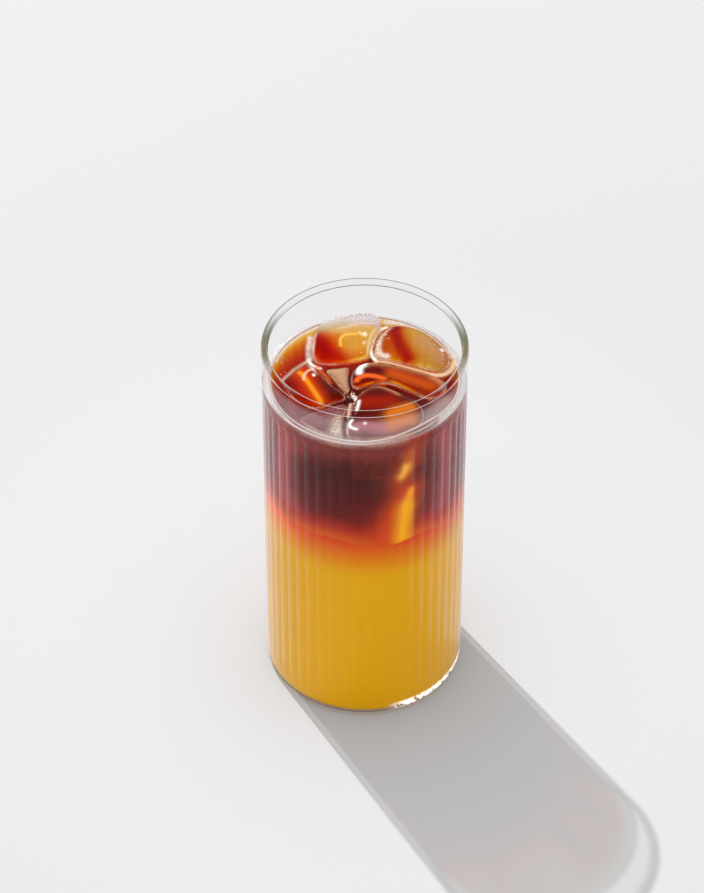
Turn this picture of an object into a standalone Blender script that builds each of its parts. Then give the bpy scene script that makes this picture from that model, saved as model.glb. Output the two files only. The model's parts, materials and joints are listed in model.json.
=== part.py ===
"""An iced coffee poured over orange juice, in a tall ribbed glass.

The glass stands on its flat base. Its axis is Z and the base centre is the origin. Metres, +Z up.
Orange juice fills the lower part, coffee floats on it up to the liquid level, and seven melting
ice cubes break the surface.
"""

from math import cos, radians, sin

import bmesh
import bpy
from mathutils import Euler, Vector, noise

# The glass
HEIGHT = 0.135
OUTER_RADIUS = 0.0325
WALL = 0.0024
RIM_THICKNESS = 0.0021
RIM_BLEND = 0.006
BASE_THICKNESS = 0.0025
OUTER_HEEL = 0.003
INNER_HEEL = 0.0035
INNER_RADIUS = OUTER_RADIUS - WALL

# The ribs moulded down the outside of the glass
RIB_COUNT = 50
RIB_DEPTH = 0.0003
RIB_BOTTOM = 0.0075
RIB_TOP = 0.1185
RIB_FADE = 0.002
SEGMENTS_PER_RIB = 4
HEEL_STEPS = 2
RIM_STEPS = 4

# The drink
GAP = 0.0003
LIQUID_LEVEL = 0.120
MENISCUS_RISE = 0.0014
MENISCUS_WIDTH = 0.0022
LAYER_LEVEL = 0.0775
LAYER_TILT = -0.05
LAYER_WAVE = 0.0012
LAYER_CUTS = 9
DRINK_SEGMENTS = 48

# The ice: each cube's place, its size, how it lies, and how square it is
ICE_CUBES = {
    "ice_back_left": dict(
        centre=(-0.0065, 0.0163, 0.1147), size=(0.0214, 0.0178, 0.0206), turn=(3, -2, -9), square=8.0
    ),
    "ice_back_right": dict(
        centre=(0.0148, 0.0131, 0.1118), size=(0.0187, 0.0150, 0.0200), turn=(2, 2, -24), square=7.0
    ),
    "ice_middle_right": dict(
        centre=(0.0117, -0.0007, 0.1120), size=(0.0244, 0.0094, 0.0196), turn=(3, 1, -16), square=7.0
    ),
    "ice_front_right": dict(
        centre=(0.0075, -0.0156, 0.1119), size=(0.0184, 0.0166, 0.0196), turn=(-2, 3, -12), square=7.0
    ),
    "ice_left": dict(
        centre=(-0.0162, -0.0032, 0.1119), size=(0.0208, 0.0142, 0.0198), turn=(2, -3, -56), square=8.0
    ),
    "ice_front_left": dict(
        centre=(-0.0092, -0.0206, 0.1137), size=(0.0104, 0.0100, 0.0146), turn=(2, 3, -18), square=6.0
    ),
    "ice_centre": dict(
        centre=(-0.0050, 0.0006, 0.1149), size=(0.0064, 0.0070, 0.0116), turn=(3, 4, 32), square=6.0
    ),
}
ICE_CUTS = 2
ICE_FACE = 0.62
ICE_TAPER = 0.12
ICE_DENT = 0.0005
ICE_DENT_SPACING = 0.009

TINY = 1e-5


def clear_scene():
    for obj in list(bpy.data.objects):
        bpy.data.objects.remove(obj, do_unlink=True)


def new_collection(name):
    collection = bpy.data.collections.new(name)
    bpy.context.scene.collection.children.link(collection)
    return collection


def new_material(name, colour, roughness, transmission=0.0, ior=1.45):
    material = bpy.data.materials.new(name)
    material.use_nodes = True
    shader = material.node_tree.nodes["Principled BSDF"]
    shader.inputs["Base Color"].default_value = (*colour, 1.0)
    shader.inputs["Roughness"].default_value = roughness
    shader.inputs["Metallic"].default_value = 0.0
    shader.inputs["Transmission Weight"].default_value = transmission
    shader.inputs["IOR"].default_value = ior
    return material


def arc(centre_x, centre_z, radius, start, end, steps):
    """Points round a quarter or half circle in the XZ plane, angles in degrees from +X towards +Z."""
    angles = [radians(start + (end - start) * i / steps) for i in range(steps + 1)]
    return [(centre_x + radius * cos(a), centre_z + radius * sin(a)) for a in angles]


def turned(name, profile, steps, collection, material):
    """A profile of (radius, height) points spun round the Z axis, running down its outer side."""
    mesh = bpy.data.meshes.new(name)
    points = [(x, 0.0, z) for x, z in profile]
    mesh.from_pydata(points, [(i, i + 1) for i in range(len(points) - 1)], [])
    obj = bpy.data.objects.new(name, mesh)
    collection.objects.link(obj)
    screw = obj.modifiers.new("Spin", "SCREW")
    screw.axis = "Z"
    screw.steps = screw.render_steps = steps
    screw.use_merge_vertices = True
    screw.merge_threshold = TINY
    screw.use_smooth_shade = True
    mesh.materials.append(material)
    return obj


def applied(obj):
    """Replaces an object's mesh with what its modifiers make of it."""
    graph = bpy.context.evaluated_depsgraph_get()
    mesh = bpy.data.meshes.new_from_object(obj.evaluated_get(graph))
    obj.modifiers.clear()
    obj.data = mesh
    return obj


def cut(obj, cutter=None, cutters=None):
    boolean = obj.modifiers.new("Cut", "BOOLEAN")
    boolean.operation = "DIFFERENCE"
    boolean.solver = "EXACT"
    if cutters is not None:
        boolean.operand_type = "COLLECTION"
        boolean.collection = cutters
    else:
        boolean.object = cutter


def hide(obj):
    obj.hide_render = True
    obj.display_type = "WIRE"
    return obj


def smooth_step(value, low, high):
    share = min(1.0, max(0.0, (value - low) / (high - low)))
    return share * share * (3 - 2 * share)


def glass_profile():
    """Up the inside from the middle of the bottom, over the round rim, and down the outside."""
    rim = RIM_THICKNESS / 2
    inner_floor = [(0.0, BASE_THICKNESS)]
    inner_heel = arc(INNER_RADIUS - INNER_HEEL, BASE_THICKNESS + INNER_HEEL, INNER_HEEL, -90, 0, HEEL_STEPS)
    inner_wall = [(INNER_RADIUS, HEIGHT - RIM_BLEND)]
    rim_round = arc(OUTER_RADIUS - rim, HEIGHT - rim, rim, 180, 0, RIM_STEPS)
    outer_band = [(OUTER_RADIUS, z) for z in (RIB_TOP, RIB_TOP - RIB_FADE, RIB_BOTTOM + RIB_FADE, RIB_BOTTOM)]
    outer_heel = arc(OUTER_RADIUS - OUTER_HEEL, OUTER_HEEL, OUTER_HEEL, 0, -90, HEEL_STEPS)
    return [*inner_floor, *inner_heel, *inner_wall, *rim_round, *outer_band, *outer_heel, (0.0, 0.0)]


def rib_sink(angle, height):
    """How far the wall lies inside the crests of the ribs: round crests with a sharp valley between."""
    fade = smooth_step(height, RIB_BOTTOM, RIB_BOTTOM + RIB_FADE) * (
        1 - smooth_step(height, RIB_TOP - RIB_FADE, RIB_TOP)
    )
    return RIB_DEPTH * fade * (1 - abs(cos(RIB_COUNT * angle / 2)))


def make_glass(collection, material):
    glass = turned("glass", glass_profile(), RIB_COUNT * SEGMENTS_PER_RIB, collection, material)
    applied(glass)
    outside = (OUTER_RADIUS + INNER_RADIUS) / 2
    for vertex in glass.data.vertices:
        across = Vector((vertex.co.x, vertex.co.y))
        if across.length > outside:
            angle = across.angle_signed(Vector((1.0, 0.0)))
            across *= 1 - rib_sink(angle, vertex.co.z) / across.length
            vertex.co.x, vertex.co.y = across
    return glass


def layer_height(x, y):
    """Where the coffee lies on the juice: lower on the right, with slow waves."""
    wave = noise.noise(Vector((x, y, 0.0)) / INNER_RADIUS * 1.6)
    return LAYER_LEVEL + LAYER_TILT * x + 2 * LAYER_WAVE * wave


def layer_cutter(name, offset, height, collection):
    """A block with the wavy layer line as its one face, reaching up or down from it by height."""
    side = 2.4 * INNER_RADIUS
    mesh = bpy.data.meshes.new(name)
    form = bmesh.new()
    bmesh.ops.create_grid(form, x_segments=LAYER_CUTS, y_segments=LAYER_CUTS, size=side / 2)
    for vertex in form.verts:
        vertex.co.z = layer_height(vertex.co.x, vertex.co.y) + offset
    bmesh.ops.triangulate(form, faces=form.faces)
    grown = bmesh.ops.extrude_face_region(form, geom=list(form.faces))
    for item in grown["geom"]:
        if isinstance(item, bmesh.types.BMVert):
            item.co.z = LAYER_LEVEL + height
    bmesh.ops.recalc_face_normals(form, faces=form.faces)
    form.to_mesh(mesh)
    form.free()
    cutter = bpy.data.objects.new(name, mesh)
    collection.objects.link(cutter)
    return hide(cutter)


def drink_profile():
    """The inside of the glass up to the liquid level, GAP clear of it, with the meniscus at the wall."""
    radius = INNER_RADIUS - GAP
    floor = BASE_THICKNESS + GAP
    heel = arc(radius - INNER_HEEL, floor + INNER_HEEL, INNER_HEEL, 0, -90, HEEL_STEPS)
    rise = [
        (radius - MENISCUS_WIDTH * (1 - share), LIQUID_LEVEL + MENISCUS_RISE * share**2.2)
        for share in (0.0, 0.4, 0.7, 0.9, 1.0)
    ]
    return [(0.0, LIQUID_LEVEL), *rise, *heel, (0.0, floor)]


def ice_point(grid, half, square, seed):
    """A point of a melted cube: flat faces, round edges, slimmer towards the foot, with slow dents."""
    direction = [c if abs(c) > 0.9 else ICE_FACE * (c > 0) - ICE_FACE * (c < 0) for c in grid]
    norm = sum(abs(c) ** square for c in direction) ** (1 / square)
    point = Vector(c / norm * h for c, h in zip(direction, half))
    slim = 1 - ICE_TAPER * (1 - point.z / half[2]) / 2
    point = Vector((point.x * slim, point.y * slim, point.z))
    dent = noise.noise(point / ICE_DENT_SPACING + Vector((seed, 2 * seed, 0.0)))
    return point + point.normalized() * ICE_DENT * dent


def make_ice(name, seed, centre, size, turn, square, collection, material):
    mesh = bpy.data.meshes.new(name)
    form = bmesh.new()
    bmesh.ops.create_cube(form, size=2.0)
    bmesh.ops.subdivide_edges(form, edges=form.edges, cuts=ICE_CUTS, use_grid_fill=True)
    for vertex in form.verts:
        vertex.co = ice_point(vertex.co, [side / 2 for side in size], square, seed)
    form.to_mesh(mesh)
    form.free()
    mesh.materials.append(material)
    mesh.shade_smooth()
    ice = bpy.data.objects.new(name, mesh)
    collection.objects.link(ice)
    ice.location = centre
    ice.rotation_euler = Euler([radians(a) for a in turn])
    melt = ice.modifiers.new("Melt", "SUBSURF")
    melt.levels = melt.render_levels = 1
    return ice


def ice_cutter(ice, collection):
    """The hollow that a cube leaves in the coffee, GAP wider than the cube all round."""
    cutter = bpy.data.objects.new(ice.name + "_hollow", ice.data.copy())
    collection.objects.link(cutter)
    cutter.location, cutter.rotation_euler = ice.location, ice.rotation_euler
    melt = cutter.modifiers.new("Melt", "SUBSURF")
    melt.levels = melt.render_levels = 1
    swell = cutter.modifiers.new("Swell", "DISPLACE")
    swell.strength = GAP
    swell.mid_level = 0.0
    return hide(cutter)


def main():
    clear_scene()
    drink_glass = new_collection("iced_orange_coffee")
    cutters = new_collection("cutters")
    hollows = new_collection("hollows")
    glass_clear = new_material("clear_glass", (0.95, 0.97, 0.96), 0.02, transmission=1.0, ior=1.47)
    juice_orange = new_material("orange_juice", (0.83, 0.36, 0.01), 0.15)
    coffee_dark = new_material("black_coffee", (0.09, 0.014, 0.012), 0.08)
    ice_clear = new_material("clear_ice", (0.95, 0.93, 0.91), 0.05, transmission=1.0, ior=1.31)

    make_glass(drink_glass, glass_clear)
    above = layer_cutter("above_the_juice", 0.0, LIQUID_LEVEL, cutters)
    below = layer_cutter("below_the_coffee", GAP, -LIQUID_LEVEL, cutters)
    juice = turned("orange_juice", drink_profile(), DRINK_SEGMENTS, drink_glass, juice_orange)
    cut(juice, above)
    coffee = turned("coffee", drink_profile(), DRINK_SEGMENTS, drink_glass, coffee_dark)
    cut(coffee, below)
    for seed, (name, form) in enumerate(ICE_CUBES.items(), start=1):
        ice = make_ice(name, seed, **form, collection=drink_glass, material=ice_clear)
        ice_cutter(ice, hollows)
    cut(coffee, cutters=hollows)


main()
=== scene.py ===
"""The looks of an iced coffee poured over orange juice, in a tall ribbed glass.

Every piece stands where its solid stands: metres, +Z up, the glass's axis is Z.
"""

import json
import random
from math import cos, pi, radians, sin
from types import SimpleNamespace

import bpy
import numpy as np
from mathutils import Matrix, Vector, noise
from mathutils.bvhtree import BVHTree

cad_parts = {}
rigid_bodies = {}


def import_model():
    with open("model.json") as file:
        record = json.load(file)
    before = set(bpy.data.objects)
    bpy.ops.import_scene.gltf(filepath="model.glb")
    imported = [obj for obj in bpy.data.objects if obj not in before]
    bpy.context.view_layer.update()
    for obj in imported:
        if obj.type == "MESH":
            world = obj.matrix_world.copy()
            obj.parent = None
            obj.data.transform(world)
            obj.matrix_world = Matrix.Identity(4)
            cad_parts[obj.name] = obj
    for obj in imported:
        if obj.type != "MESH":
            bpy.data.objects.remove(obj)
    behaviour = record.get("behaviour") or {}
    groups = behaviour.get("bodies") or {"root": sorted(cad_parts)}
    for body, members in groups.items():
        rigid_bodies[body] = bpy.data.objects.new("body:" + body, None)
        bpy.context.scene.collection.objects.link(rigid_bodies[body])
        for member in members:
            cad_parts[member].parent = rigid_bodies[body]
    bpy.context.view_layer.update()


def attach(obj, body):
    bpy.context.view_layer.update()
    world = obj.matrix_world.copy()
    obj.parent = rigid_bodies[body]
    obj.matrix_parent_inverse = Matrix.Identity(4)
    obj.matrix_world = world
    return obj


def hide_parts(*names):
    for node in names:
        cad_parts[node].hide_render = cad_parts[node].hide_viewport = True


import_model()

MM = 0.001

# The glass, as in the part's source
HEIGHT = 0.135
OUTER_RADIUS = 0.0325
WALL = 0.0024
RIM_THICKNESS = 0.0021
RIM_BLEND = 0.006
BASE_THICKNESS = 0.0025
OUTER_HEEL = 0.003
INNER_HEEL = 0.0035
INNER_RADIUS = OUTER_RADIUS - WALL
RIB_COUNT = 50
RIB_DEPTH = 0.0003
RIB_BOTTOM = 0.0075
RIB_TOP = 0.1185
RIB_FADE = 0.002
SEGMENTS_PER_RIB = 12

# The drink reaches this far into the glass, so that no air shows between them
SOAK = 0.00015
LIQUID_LEVEL = 0.120
LAYER_LEVEL = 0.0775
LAYER_TILT = -0.05
LAYER_WAVE = 0.0012
MIXING_DEPTH = 0.011
DRINK_SEGMENTS = 360
JUICE_FLOOR = 0.0009
JUICE_HEEL = 0.0022
TOP_RINGS = 74
COFFEE_ROWS = 44
LAYER_RINGS = 24

# How the coffee climbs the glass and the ice, and the painted highlights along its edges
WALL_RISE = 0.0006
WALL_REACH = 0.0030
SWELL_RISE = 0.0022
SWELL_ANGLE = radians(-52)
SWELL_WIDTH = radians(26)
ICE_RISE = 0.0008
ICE_REACH = 0.0011
LIP_FULL = 0.00028
LIP_END = 0.00064
LIP_HIGHLIGHT = 0.6
LINE_RADIUS = 0.00032

# Where bubbles gather: x, y, spread in x and y (mm), how many
BUBBLE_CLUSTERS = (
    (2.0, 17.0, 1.6, 2.4, 26),
    (4.4, 13.0, 0.7, 2.4, 22),
    (5.4, 20.0, 0.8, 2.2, 30),
    (4.6, 13.5, 0.9, 2.4, 26),
    (24.5, 11.0, 1.2, 3.4, 16),
    (27.0, 4.0, 0.9, 3.4, 14),
    (-26.5, 7.0, 1.4, 3.2, 14),
    (-4.0, -6.6, 1.2, 1.6, 16),
    (-3.6, -14.0, 0.6, 4.0, 16),
    (-4.0, 27.0, 6.0, 1.0, 30),
)

# The ice: each cube's outline from above in mm, clockwise from its back left corner with three points
# a side, the heights of its corners in that order, its foot, and how sharp its top edge is
ICE_CUBES = {
    "ice_back_left": dict(
        outline=(
            (-13.2, 25.2), (-7.8, 27.3), (-2.0, 28.0), (3.1, 28.1), (5.9, 25.0), (3.1, 18.8),
            (1.6, 10.1), (-2.5, 8.1), (-6.7, 6.7), (-12.9, 6.6), (-16.6, 9.0), (-17.0, 18.4),
        ),
        tops=(124.8, 124.95, 121.7, 121.6), foot=104.6, square=13.0,
    ),
    "ice_back_right": dict(
        outline=(
            (8.0, 24.3), (11.4, 25.1), (16.9, 23.1), (21.3, 19.1), (24.7, 14.5), (27.3, 8.6),
            (25.3, 3.4), (19.6, 4.5), (11.2, 7.3), (4.2, 9.5), (3.1, 13.8), (4.5, 20.1),
        ),
        tops=(122.3, 122.0, 121.7, 121.9), foot=102.4, square=12.0,
    ),
    "ice_middle_right": dict(
        outline=(
            (-2.3, 6.3), (2.7, 7.6), (9.6, 6.0), (20.6, 2.0), (25.0, -1.1), (26.0, -5.4),
            (21.4, -9.9), (14.2, -6.0), (6.4, -1.3), (-2.0, -4.5), (-4.3, -2.9), (-4.3, 2.1),
        ),
        tops=(121.9, 121.7, 121.7, 122.0), foot=102.6, square=12.0,
    ),
    "ice_front_right": dict(
        outline=(
            (-1.8, -7.7), (1.7, -3.8), (6.4, -3.5), (14.2, -8.9), (17.7, -13.2), (18.7, -18.6),
            (15.6, -24.0), (9.5, -27.0), (1.6, -28.0), (-5.5, -27.4), (-5.8, -20.9), (-4.0, -13.2),
        ),
        tops=(122.0, 121.6, 121.6, 121.9), foot=102.6, square=12.0,
    ),
    "ice_left": dict(
        outline=(
            (-18.3, 7.2), (-15.0, 3.1), (-10.9, -2.9), (-6.2, -8.1), (-6.7, -10.2), (-9.8, -11.5),
            (-15.0, -14.1), (-19.7, -12.0), (-23.2, -7.7), (-26.1, -1.9), (-24.3, 0.9), (-21.2, 4.2),
        ),
        tops=(122.0, 121.8, 121.8, 122.0), foot=102.6, square=12.0,
    ),
    "ice_front_left": dict(
        outline=(
            (-13.5, -14.9), (-10.3, -13.2), (-7.5, -12.3), (-5.8, -12.6), (-6.4, -16.3), (-7.4, -21.7),
            (-6.7, -27.8), (-9.4, -27.0), (-13.8, -25.1), (-19.0, -21.4), (-20.7, -19.4), (-17.6, -16.7),
        ),
        tops=(121.6, 121.6, 121.3, 121.2), foot=106.6, square=11.0,
    ),
    "ice_centre": dict(
        outline=(
            (-12.1, 4.1), (-9.6, 4.7), (-7.3, 5.2), (-5.3, 5.5), (-5.6, 2.1), (-5.7, -1.5),
            (-5.1, -6.3), (-6.6, -4.6), (-7.8, -2.9), (-8.8, -1.1), (-9.9, 0.9), (-11.0, 2.6),
        ),
        tops=(121.3, 121.3, 121.1, 121.1), foot=109.4, square=10.0,
    ),
}

# What is seen in the drink from above, in mm, by kind: tints that darken and redden what shows through the
# ice, partly the coffee's colour and partly painted shade and glow for light bent through it; and covers of
# air, frost and froth, painted highlights and painted glow, grainy for the frost kind and smooth for the
# other. Each runs along a bent stroke and has a half width, a colour and a strength.
MARKS = {
    "ice_back_left": (
        ("frost_and_painted_light", ((-12.6, 24.2), (-5.2, 25.2), (4.1, 26.5)), 3.4, "#FAF2F2", 1),
        ("haze_and_painted_light", ((-15.3, 20.6), (-11.0, 21.5), (-6.2, 22.3)), 2.2, "#D8C088", 0.5),
        ("tint_and_shade", ((-15.8, 15.2), (-14.2, 12.7), (-12.5, 9.1)), 3.2, "#D02C08", 1),
        ("tint_and_shade", ((-13.1, 13.1), (-10.4, 11.1), (-7.8, 9.1)), 3, "#DC3C0C", 0.8),
        ("tint_and_shade", ((-15.8, 17.9), (-13.1, 17.6), (-9.4, 16.0)), 2.4, "#F09838", 0.8),
        ("haze_and_painted_light", ((-7.5, 13.4), (-7.0, 17.2), (-2.9, 18.2)), 0.5, "#FFC050", 0.9),
        ("haze_and_painted_light", ((-0.1, 18.5), (0.0, 18.7), (0.1, 18.2)), 0.7, "#FFF0C8", 1),
        ("haze_and_painted_light", ((-0.2, 15.3), (-0.2, 15.1), (-0.2, 14.8)), 0.45, "#FFE8B8", 1),
        ("haze_and_painted_light", ((-1.7, 19.0), (-1.5, 18.7), (-1.2, 18.4)), 0.5, "#FFD890", 0.9),
        ("haze_and_painted_light", ((-4.6, 11.5), (-2.0, 13.1), (0.7, 14.3)), 2.4, "#DC9848", 0.35),
        ("haze_and_painted_light", ((4.1, 21.2), (2.0, 17.6), (1.1, 11.1)), 0.6, "#F8D8A0", 0.6),
        ("haze_and_painted_light", ((-15.7, 18.4), (-16.3, 14.3), (-16.6, 9.9)), 0.6, "#F4DCC4", 0.75),
        ("haze_and_painted_light", ((-16.6, 8.7), (-15.2, 6.7), (-13.1, 5.9)), 0.8, "#FFF4F0", 0.9),
    ),
    "ice_back_right": (
        ("frost_and_painted_light", ((7.5, 23.2), (4.7, 19.7), (3.9, 15.3)), 1.3, "#F4E0CC", 0.95),
        ("frost_and_painted_light", ((3.9, 15.3), (4.3, 11.2), (6.7, 9.5)), 1.3, "#FAEAD8", 0.95),
        ("tint_and_shade", ((8.8, 22.9), (10.5, 16.1), (13.6, 8.8)), 3.6, "#F0A040", 0.8),
        ("tint_and_shade", ((9.3, 22.9), (10.8, 16.1), (13.6, 8.8)), 2, "#CC3410", 0.9),
        ("haze_and_painted_light", ((19.2, 16.1), (22.3, 12.0), (24.4, 8.1)), 3.2, "#C08868", 0.55),
        ("haze_and_painted_light", ((19.6, 22.2), (26.1, 14.1), (27.8, 8.1)), 0.5, "#E8B484", 0.6),
        ("haze_and_painted_light", ((24.4, 12.5), (24.5, 12.3), (24.7, 12.0)), 0.5, "#FFFFFF", 1),
    ),
    "ice_middle_right": (
        ("haze_and_painted_light", ((0.2, 6.6), (-1.4, 4.1), (-1.7, 1.5)), 1.1, "#FFFFFF", 1),
        ("frost_and_painted_light", ((2.2, 6.6), (10.1, 5.0), (20.0, 1.4)), 1.2, "#C88C58", 0.75),
        ("haze_and_painted_light", ((4.6, 5.8), (7.0, 6.0), (9.4, 4.5)), 0.5, "#70301A", 0.9),
        ("haze_and_painted_light", ((-2.5, -2.1), (0.6, -0.0), (5.9, -1.6)), 1, "#FF6C28", 0.8),
        ("tint_and_shade", ((0.1, 1.1), (3.8, 2.6), (7.7, -0.7)), 1.3, "#B83820", 0.9),
        ("haze_and_painted_light", ((8.5, 0.7), (13.7, -1.5), (20.5, -4.8)), 2.4, "#D85C14", 0.6),
        ("haze_and_painted_light", ((22.1, -0.7), (24.2, -2.3), (25.5, -5.0)), 1.8, "#DC8C5C", 0.6),
        ("haze_and_painted_light", ((16.2, -8.1), (17.3, -8.9), (18.8, -9.5)), 1.2, "#803848", 0.6),
    ),
    "ice_front_right": (
        ("frost_and_painted_light", ((-1.4, -7.6), (3.2, -4.0), (10.5, -8.1)), 1, "#C08460", 0.8),
        ("tint_and_shade", ((-0.5, -10.5), (3.7, -8.1), (12.0, -13.2)), 2.4, "#B8483C", 0.9),
        ("tint_and_shade", ((0.6, -14.0), (3.7, -13.2), (7.3, -13.2)), 3, "#F07838", 0.6),
        ("haze_and_painted_light", ((0.6, -12.4), (4.5, -12.4), (7.9, -11.6)), 3.4, "#B02408", 0.6),
        ("haze_and_painted_light", ((8.3, -17.8), (10.4, -16.1), (14.1, -14.4)), 2.2, "#E87818", 0.8),
        ("haze_and_painted_light", ((8.3, -23.2), (10.9, -21.3), (14.0, -20.2)), 3.6, "#D87C28", 0.8),
        ("haze_and_painted_light", ((-2.6, -24.0), (0.5, -23.6), (5.2, -24.8)), 2.6, "#B46068", 0.75),
        ("haze_and_painted_light", ((-2.5, -16.3), (-2.0, -13.6), (-1.8, -12.0)), 0.55, "#FFF4F0", 0.95),
        ("haze_and_painted_light", ((-4.0, -20.8), (-4.7, -23.2), (-2.6, -24.9)), 0.55, "#FFFFFF", 1),
        ("haze_and_painted_light", ((-0.1, -22.2), (0.0, -22.4), (0.1, -22.6)), 0.45, "#FFFFFF", 1),
        ("haze_and_painted_light", ((-4.8, -14.7), (-5.7, -20.9), (-5.6, -27.0)), 0.6, "#FFF0E8", 0.9),
    ),
    "ice_left": (
        ("tint_and_shade", ((-23.0, -0.7), (-18.8, -4.6), (-12.5, -7.0)), 5, "#E08068", 0.6),
        ("haze_and_painted_light", ((-21.5, 3.3), (-18.2, -3.0), (-14.5, -12.4)), 3, "#D83808", 0.7),
        ("haze_and_painted_light", ((-20.9, 2.6), (-18.0, -2.9), (-13.7, -12.4)), 2, "#C44C10", 0.55),
        ("haze_and_painted_light", ((-20.4, 1.5), (-17.7, -3.4), (-13.7, -12.4)), 0.85, "#F09820", 0.85),
        ("tint_and_shade", ((-14.1, -0.7), (-10.4, -5.8), (-7.2, -9.2)), 2.2, "#D07058", 0.7),
        ("haze_and_painted_light", ((-14.6, 3.6), (-18.2, 1.9), (-19.2, -1.9)), 0.45, "#F4C8A8", 0.85),
        ("haze_and_painted_light", ((-16.9, 6.9), (-16.1, 5.5), (-15.5, 3.9)), 1.2, "#FFF8F4", 1),
        ("haze_and_painted_light", ((-16.1, 0.6), (-16.1, 0.4), (-16.0, 0.1)), 0.45, "#FFFFFF", 1),
    ),
    "ice_front_left": (
        ("frost_and_painted_light", ((-19.1, -20.2), (-13.4, -18.6), (-7.7, -15.5)), 6, "#985C60", 0.75),
        ("frost_and_painted_light", ((-7.2, -20.2), (-8.2, -24.0), (-9.8, -27.4)), 2.6, "#ECD4C0", 0.9),
    ),
    "ice_centre": (
        ("haze_and_painted_light", ((-9.9, 3.3), (-7.5, 1.7), (-5.7, -4.6)), 4.5, "#CCA07C", 0.75),
    ),
    "coffee": (
        ("frost_and_painted_light", ((-26.9, -12.4), (-22.8, -18.9), (-17.8, -23.6)), 3.4, "#985058", 0.7),
        ("frost_and_painted_light", ((-17.6, -23.8), (-10.8, -27.6), (-2.6, -29.5)), 1.9, "#CCA898", 0.75),
        ("frost_and_painted_light", ((1.5, -29.6), (6.6, -28.9), (11.6, -27.2)), 1.8, "#D4A484", 0.7),
        ("haze_and_painted_light", ((20.2, -19.4), (22.9, -15.5), (25.6, -10.9)), 3.4, "#B89C98", 0.55),
        ("haze_and_painted_light", ((-3.7, -7.7), (-3.0, -8.9), (-2.3, -10.5)), 0.6, "#FFECE4", 0.9),
        ("haze_and_painted_light", ((-4.4, -11.6), (-5.0, -14.7), (-5.1, -17.8)), 0.5, "#F0BCAC", 0.8),
        ("frost_and_painted_light", ((-17.3, 20.1), (-17.8, 14.5), (-17.6, 9.5)), 0.9, "#F8E8DC", 0.95),
        ("haze_and_painted_light", ((-17.9, 9.5), (-16.6, 6.9), (-14.1, 5.2)), 0.6, "#FFF4EC", 0.9),
        ("haze_and_painted_light", ((7.0, 25.1), (4.1, 22.4), (2.5, 18.3)), 0.6, "#FFF4E4", 1),
        ("haze_and_painted_light", ((2.5, 18.3), (2.0, 12.9), (3.8, 8.7)), 0.6, "#FFF4E4", 1),
        ("haze_and_painted_light", ((3.8, 8.7), (11.2, 6.6), (21.1, 2.6)), 0.5, "#F0C49C", 0.8),
        ("haze_and_painted_light", ((21.4, 2.2), (25.9, 3.0), (28.5, 8.1)), 0.9, "#F4D0AC", 0.8),
        ("haze_and_painted_light", ((-18.1, 8.7), (-22.3, 4.5), (-26.0, -0.8)), 0.6, "#F0CCB4", 0.75),
        ("frost_and_painted_light", ((-28.3, 8.7), (-23.5, 17.9), (-15.3, 25.3)), 0.7, "#F4E8E4", 0.75),
        ("frost_and_painted_light", ((6.8, 27.4), (14.1, 26.0), (20.4, 21.4)), 1, "#F4E8E8", 0.8),
        ("frost_and_painted_light", ((20.4, 21.4), (24.9, 16.1), (27.8, 10.2)), 0.8, "#F0DCD4", 0.7),
        ("frost_and_painted_light", ((-15.2, 5.7), (-13.0, 2.5), (-10.9, -1.5)), 0.7, "#E87838", 0.6),
    ),
}

# Daylight let down through the ice, on the coffee at the glass: stroke as (turn in degrees, height in mm)
GLOWS = (
    (((-62.0, 118.3), (-63.6, 111.1), (-69.6, 103.7)), 4.6, "#A83818", 0.55),
    (((-63.0, 114.0), (-64.6, 110.0), (-68.0, 104.8)), 2.2, "#C05818", 0.7),
    (((-65.4, 109.0), (-66.6, 107.2), (-68.0, 105.4)), 1.5, "#F4AC3C", 0.9),
    (((-64.0, 97.6), (-73.8, 86.9), (-78.0, 77.6)), 5.0, "#CC4008", 0.85),
    (((-62.3, 98.5), (-64.5, 93.5), (-65.8, 88.0)), 1.2, "#F09410", 1.0),
    (((-65.2, 91.8), (-66.8, 84.0), (-67.4, 78.6)), 2.8, "#F2A200", 1.0),
    (((-141.0, 113.5), (-145.7, 98.8), (-141.9, 87.5)), 4.5, "#B84848", 0.6),
    (((-39.0, 114.0), (-36.0, 100.0), (-39.0, 86.0)), 4.0, "#B04C50", 0.55),
    (((-134.0, 116.6), (-101.8, 117.0), (-72.0, 117.0)), 3.4, "#74302C", 0.75),
)

# How a cube is meshed and melted
ICE_CUTS = 5
ICE_SMOOTHING = 3
ICE_TAPER = 0.12
ICE_DENT = 0.0004
ICE_DENT_SPACING = 0.009
ICE_MARKED = (0.1165, 0.1190)
WET_OVERLAP = 0.00005

# Fog and drops on the glass, and a painted sheen at a slant and on the front above the drink: strengths,
# the heights where they start and end, drops per metre
FOG_INSIDE = 0.8
FOG_OUTSIDE = 0.006
FOG_START = (0.070, 0.078)
FOG_END = (0.1205, 0.118)
FRONT_SHEEN = 0.20
FRONT_SHEEN_START = (0.1208, 0.1218)
FRONT_SHEEN_END = (0.1330, 0.1300)
SPECK_SCALE = 1400.0
SPECK_SIZE = (0.34, 0.10)
SPECK_VEIL = 0.06
PATCH_SCALE = 90.0
SLANT_SHEEN = 0.85
SLANT_POWER = 4.0
RIB_SHARE = 0.14

# How the glass is seen: its middle, its front half, and the slope and fade of a slanting look
WALL_MIDDLE = 0.0312
FRONT_SIDE = (0.004, -0.012)
LOOK_SLOPE = 0.734
LOOK_FADE = 0.7
SOFT = {"interpolation_type": "SMOOTHSTEP"}

# Above these heights light goes straight through a wall met from outside, or from within the glass
OPEN_OUTSIDE = (0.1228, 0.1188)
OPEN_INSIDE = (0.1209, 0.1214)
COFFEE_EDGE = 0.1206

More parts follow.
